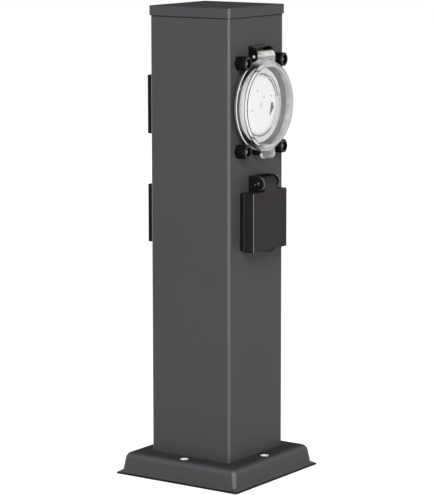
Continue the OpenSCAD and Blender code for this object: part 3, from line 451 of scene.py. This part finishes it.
def clear_plastic():
    """Clear moulding, frosted at its hinge and along its latch's edges and hazy on the right of its
    side wall. The latch's edges are painted bright as highlights, the lower part of the hinge is
    painted grey as shade and its rounded front edge on the right is painted dark as shade.
    """
    s = Shader("clear_plastic")
    up = s.less(s.z, TIMER_Z)
    out = s.less(s.calc("MULTIPLY", s.y, -1), WALL)
    reach = s.away(s.x, up)
    streak = s.ramp(s.noise(240, 3, stretch=(1, 0.12, 1)), 0.6, 1.0)
    wall = s.both(
        s.fade(reach, COVER_WALL_IN - 0.4, COVER_WALL_IN + 0.4),
        s.fade(reach, RIM_R + 0.2, RIM_R),
        s.fade(s.x, -16, 4),
        streak,
    )
    # The rounded edge between the wall and the front, on the right, which is painted dark as shade
    rim = s.both(
        s.fade(reach, COVER_WALL_IN + 1.5, COVER_WALL_IN + 2),
        s.fade(out, COVER_FRONT - 3.2, COVER_FRONT - 2.7),
        s.fade(s.x, 0, 12),
    )
    knuckle = s.fade(up, RIM_R, RIM_R + 1)
    # Painted highlights along the latch's side edges
    tab = s.both(
        s.fade(up, -RIM_R - 1, -RIM_R - 2),
        s.fade(s.size(s.x), LATCH_HALF - 1.6, LATCH_HALF - 0.8),
    )
    frosted = s.both(knuckle, s.between(s.fade(up, KNUCKLE_UP, KNUCKLE_UP + 3), 0.9, 0.5))
    haze = s.most(s.both(wall, 0.9), frosted, s.both(tab, 0.7), s.both(rim, 0.9))
    shade = s.mix(s.fade(out, 5, COVER_FRONT - 1), linear(126, 125, 122), linear(176, 174, 172))
    shade = s.mix(rim, shade, linear(40, 40, 40))
    crease = s.ramp(s.noise(160, 3, stretch=(0.3, 0.3, 1)), 0, 1, 0.52, 0.6)
    cream = s.mix(crease, linear(246, 244, 236), linear(140, 132, 116))
    # Painted shade: the knuckle's cream turns grey lower down
    cream = s.mix(s.fade(up, KNUCKLE_UP + 2.5, KNUCKLE_UP), cream, linear(140, 139, 134))
    shade = s.mix(knuckle, shade, cream)
    shade = s.mix(tab, shade, linear(240, 240, 240))
    s.color(s.mix(haze, (0.97, 0.98, 0.98, 1), shade))
    s.set(
        Transmission_Weight=s.between(haze, 1.0, 0.1),
        Roughness=s.between(haze, s.ramp(s.noise(30, 2), 0.015, 0.05), 0.3),
        IOR=1.49,
    )
    s.bump((s.noise(45, 1), 0.05, 0.1))
    # Shadow rays and diffuse rays pass straight through, so that what lies behind is lit
    passing = s.add("ShaderNodeBsdfTransparent", Color=(0.98, 0.98, 0.98, 1))
    path = s.add("ShaderNodeLightPath")
    mixed = s.add("ShaderNodeMixShader")
    s.link(s.most(path.outputs["Is Shadow Ray"], path.outputs["Is Diffuse Ray"]), mixed.inputs[0])
    s.link(s.bsdf.outputs[0], mixed.inputs[1])
    s.link(passing.outputs[0], mixed.inputs[2])
    s.link(mixed.outputs[0], s.out.inputs["Surface"])
    return s


def printing_ink(name, colour, spread=0.06):
    return plastic(name, colour, 0.6, 0.2, grain=1800, spread=spread)


dark_ink = printing_ink("dial_ink", linear(56, 58, 60))
grey_ink = printing_ink("grey_ink", linear(120, 121, 122))
pale_ink = printing_ink("pale_ink", linear(188, 188, 186), 0.03)
by_slot = {
    "painted_steel": powder_coat(),
    "black_plastic": plastic("black_moulding", linear(17, 17, 18), 0.4, 0.15),
    "black_zinc": black_zinc(),
    "bright_steel": metal("zinc_plate", (0.62, 0.63, 0.65, 1), 0.3),
    "brass_yellow": metal("brass", (0.72, 0.55, 0.26, 1), 0.28),
    "rubber_black": plastic("rubber", linear(15, 15, 15), 0.7, 0.15, grain=1500, depth=0.05),
    "dial_white": dial_moulding(),
    "clear_plastic": clear_plastic(),
    "grey_plastic": plastic("movement_moulding", linear(150, 152, 153), 0.5, 0.4),
}
by_node = {
    "timer_housing": rim_moulding(),
    "lid_pins": metal("lid_pin_steel", linear(150, 150, 150), 0.4),
}
pin_steel = metal("pin_steel", linear(225, 225, 223), 0.4, metallic=0.2)
for name in ("cover_pin", "dial_arbor"):
    by_node[name] = pin_steel
for name in SOCKETS:
    by_node["socket_frame_" + name] = socket_moulding(name)
    by_node["socket_lid_" + name] = lid_moulding(name)
for entry in frame["record"]["subparts"]:
    shader = by_node.get(entry["node"]) or by_slot[entry["material_slot"]]
    mesh = nodes[entry["node"]].data
    mesh.materials.clear()
    mesh.materials.append(shader.mat)


# Printing on the dial
def on_dial(name, verts, faces, shader, lift=INK_LIFT):
    """A flat mesh on the dial, from points (x, up) in millimetres about the timer's axis."""
    mesh = bpy.data.meshes.new(name)
    y = (DIAL_FACE - lift) * MM
    mesh.from_pydata([(x * MM, y, (TIMER_Z + up) * MM) for x, up in verts], [], faces)
    mesh.materials.append(shader.mat)
    obj = bpy.data.objects.new(name, mesh)
    scene.collection.objects.link(obj)
    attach(obj, "dial")


def polar(radius, degrees):
    """A point at so many degrees clockwise from the top."""
    a = math.radians(degrees)
    return radius * math.sin(a), radius * math.cos(a)


def arc_band(r_in, r_out, start, end, steps=48):
    verts, faces = [], []
    for i in range(steps + 1):
        a = start + (end - start) * i / steps
        verts += [polar(r_in, a), polar(r_out, a)]
        if i:
            faces.append((2 * i - 2, 2 * i - 1, 2 * i + 1, 2 * i))
    return verts, faces


def number_mesh(number):
    """Points and faces of a number that is centred on the origin."""
    curve = bpy.data.curves.new("hour", "FONT")
    curve.body = str(number)
    curve.size = NUMBER_SIZE
    curve.align_x = "CENTER"
    curve.align_y = "CENTER"
    text = bpy.data.objects.new("hour", curve)
    scene.collection.objects.link(text)
    bpy.context.view_layer.update()
    shape = text.evaluated_get(bpy.context.evaluated_depsgraph_get()).to_mesh()
    points = [(v.co.x, v.co.y) for v in shape.vertices]
    faces = [tuple(p.vertices) for p in shape.polygons]
    bpy.data.objects.remove(text)
    bpy.data.curves.remove(curve)
    return points, faces


def hour_numbers():
    """The hours round the dial, each with its top outwards."""
    verts, faces = [], []
    for hour in range(1, HOURS + 1):
        angle = 360 / HOURS * hour
        cx, cu = polar(NUMBER_R, angle)
        sin, cos = math.sin(math.radians(-angle)), math.cos(math.radians(-angle))
        first = len(verts)
        points, outlines = number_mesh(hour)
        verts += [(cx + x * cos - up * sin, cu + x * sin + up * cos) for x, up in points]
        faces += [tuple(first + i for i in outline) for outline in outlines]
    return verts, faces


def turn_arrow():
    """An arrow on the right that points down: a short stem, a barb outwards and a long point."""
    outline = [
        (16.0, 87), (19.0, 87), (19.1, 94), (21.0, 98), (19.6, 105),
        (18.6, 113), (17.4, 127), (16.0, 118), (15.6, 100),
    ]
    return [polar(r, a) for r, a in outline], [tuple(range(len(outline)))]


def quarter_ticks(first, last):
    """A tick outside each gap between two trippers, from one quarter hour to another."""
    verts, faces = [], []
    for k in range(first, last):
        start = 360 / TRIPPERS * k - TICK_HALF_ANGLE
        end = 360 / TRIPPERS * k + TICK_HALF_ANGLE
        corner = len(verts)
        verts += [polar(TRACK_OUT, start), polar(TICK_END, start)]
        verts += [polar(TICK_END, end), polar(TRACK_OUT, end)]
        faces.append(tuple(range(corner, corner + 4)))
    return verts, faces


def spots():
    """Four small round marks about half way out."""
    verts, faces = [], []
    for reach, angle in ((12.8, -17), (8.4, 41), (17.6, 69), (12.5, 252)):
        cx, cu = polar(reach, angle)
        faces.append(tuple(range(len(verts), len(verts) + SPOT_SIDES)))
        for k in range(SPOT_SIDES):
            dx, du = polar(SPOT_R, 360 * k / SPOT_SIDES)
            verts.append((cx + dx, cu + du))
    return verts, faces


# In quarter hours from the top: the dark ticks run from 5 to a quarter to 9, the pale ones on round;
# the dark ink there is painted shade of the gaps between the trippers
DARK_START, DARK_END = 20, 35
on_dial("dial_numbers", *hour_numbers(), pale_ink)
on_dial("dial_arrow", *turn_arrow(), dark_ink)
on_dial("dial_spots", *spots(), grey_ink)
on_dial("dial_ticks_dark", *quarter_ticks(DARK_START, DARK_END), dark_ink)
on_dial("dial_ticks_pale", *quarter_ticks(DARK_END, TRIPPERS + DARK_START), pale_ink)
# Two dark lines of painted shade that lie on the trippers
for index, (start, end) in enumerate(((-4, 31), (140, 214))):
    line = arc_band(LINE_IN, LINE_OUT, start, end)
    on_dial(f"dial_shade_line_{index}", *line, dark_ink, TRIPPER_PROUD + INK_LIFT)


# Stage: a white floor and a white surround, which stay white in glass and metal too
def by_ray(tree, plain, shown, out):
    """Shows one shader to plain rays and another to camera, glossy and transmission rays."""
    path = tree.nodes.new("ShaderNodeLightPath")
    seen = path.outputs["Is Camera Ray"]
    for ray in ("Is Glossy Ray", "Is Transmission Ray"):
        either = tree.nodes.new("ShaderNodeMath")
        either.operation = "MAXIMUM"
        tree.links.new(seen, either.inputs[0])
        tree.links.new(path.outputs[ray], either.inputs[1])
        seen = either.outputs[0]
    mix = tree.nodes.new("ShaderNodeMixShader")
    tree.links.new(seen, mix.inputs[0])
    tree.links.new(plain.outputs[0], mix.inputs[1])
    tree.links.new(shown.outputs[0], mix.inputs[2])
    tree.links.new(mix.outputs[0], out.inputs["Surface"])


def surround():
    """Lit evenly round the horizon and less from straight above."""
    world = bpy.data.worlds.new("surround")
    scene.world = world
    world.use_nodes = True
    tree = world.node_tree
    tree.nodes.clear()
    where = tree.nodes.new("ShaderNodeTexCoord")
    split = tree.nodes.new("ShaderNodeSeparateXYZ")
    tree.links.new(where.outputs["Generated"], split.inputs[0])
    level = tree.nodes.new("ShaderNodeMapRange")
    tree.links.new(split.outputs[2], level.inputs["Value"])
    for key, value in (("From Min", 0.0), ("From Max", 0.9), ("To Min", 0.5), ("To Max", 0.25)):
        level.inputs[key].default_value = value
    dim = tree.nodes.new("ShaderNodeBackground")
    lit = tree.nodes.new("ShaderNodeBackground")
    for background in (dim, lit):
        background.inputs["Color"].default_value = (1, 1, 1, 1)
    tree.links.new(level.outputs["Result"], dim.inputs["Strength"])
    lit.inputs["Strength"].default_value = 1.0
    by_ray(tree, dim, lit, tree.nodes.new("ShaderNodeOutputWorld"))


def white_floor():
    """Matte to plain rays, and glowing to the camera with the object's shadow kept."""
    half, drop = 8, 0.0002
    corners = [(-half, -half, -drop), (half, -half, -drop), (half, half, -drop), (-half, half, -drop)]
    mesh = bpy.data.meshes.new("floor")
    mesh.from_pydata(corners, [], [(0, 1, 2, 3)])
    floor = bpy.data.objects.new("floor", mesh)
    scene.collection.objects.link(floor)
    made = bpy.data.materials.new("floor_white")
    made.use_nodes = True
    tree = made.node_tree
    tree.nodes.clear()
    matte = tree.nodes.new("ShaderNodeBsdfDiffuse")
    matte.inputs["Color"].default_value = (0.8, 0.8, 0.8, 1)
    shade = tree.nodes.new("ShaderNodeBsdfDiffuse")
    shade.inputs["Color"].default_value = (0.35, 0.35, 0.35, 1)
    glow = tree.nodes.new("ShaderNodeEmission")
    glow.inputs["Strength"].default_value = 0.88
    added = tree.nodes.new("ShaderNodeAddShader")
    tree.links.new(shade.outputs[0], added.inputs[0])
    tree.links.new(glow.outputs[0], added.inputs[1])
    by_ray(tree, matte, added, tree.nodes.new("ShaderNodeOutputMaterial"))
    mesh.materials.append(made)


def direction(azimuth, elevation):
    """A unit vector; azimuth 0 is straight out of the timer's face and 90 is to its right."""
    a, e = math.radians(azimuth), math.radians(elevation)
    return Vector((math.sin(a) * math.cos(e), -math.cos(a) * math.cos(e), math.sin(e)))


def softbox(name, azimuth, elevation, distance, size, radiance, target=(0, 0, 0.2)):
    """An area lamp whose surface shines with the given radiance."""
    data = bpy.data.lights.new(name, "AREA")
    data.shape = "RECTANGLE"
    data.size, data.size_y = size
    data.energy = radiance * math.pi * size[0] * size[1]
    lamp = bpy.data.objects.new(name, data)
    scene.collection.objects.link(lamp)
    back = direction(azimuth, elevation)
    lamp.location = Vector(target) + back * distance
    lamp.rotation_mode = "QUATERNION"
    lamp.rotation_quaternion = back.to_track_quat("Z", "Y")
    return lamp


surround()
white_floor()
softbox("key", -50, 34, 3.0, (1.2, 1.2), 13.0)
softbox("strip", -46, 7, 2.6, (0.3, 1.2), 10.0, target=(0, 0, 0.3))
for name, azimuth in (("fill_side", 95), ("fill_rear", 180)):
    softbox(name, azimuth, 20, 3.0, (1.6, 1.2), 5.0).visible_glossy = False


# Camera at the photograph's place: angles in degrees, places in millimetres, focal length in pixels
CAMERA_AZIMUTH, CAMERA_PITCH, CAMERA_ROLL = -55.173, 9.181, -0.057
CAMERA_SIDE, CAMERA_HEIGHT, CAMERA_BACK = 0.288, 191.669, 2023.679
FOCAL, PICTURE_HEIGHT = 2398.546, 495
SENSOR = 36


def place_camera():
    back = direction(CAMERA_AZIMUTH, CAMERA_PITCH)
    right = Vector((0, 0, 1)).cross(back).normalized()
    up = back.cross(right)
    roll = math.radians(CAMERA_ROLL)
    side = right * math.cos(roll) + up * math.sin(roll)
    top = up * math.cos(roll) - right * math.sin(roll)
    data = bpy.data.cameras.new("camera")
    data.sensor_width = SENSOR
    data.lens = SENSOR * FOCAL / PICTURE_HEIGHT
    data.clip_start, data.clip_end = 0.05, 50
    camera = bpy.data.objects.new("camera", data)
    scene.collection.objects.link(camera)
    matrix = Matrix((side, top, back)).transposed().to_4x4()
    place = right * CAMERA_SIDE + Vector((0, 0, CAMERA_HEIGHT)) + back * CAMERA_BACK
    matrix.translation = place * MM
    camera.matrix_world = matrix
    scene.camera = camera


place_camera()
scene.view_settings.view_transform = "Standard"
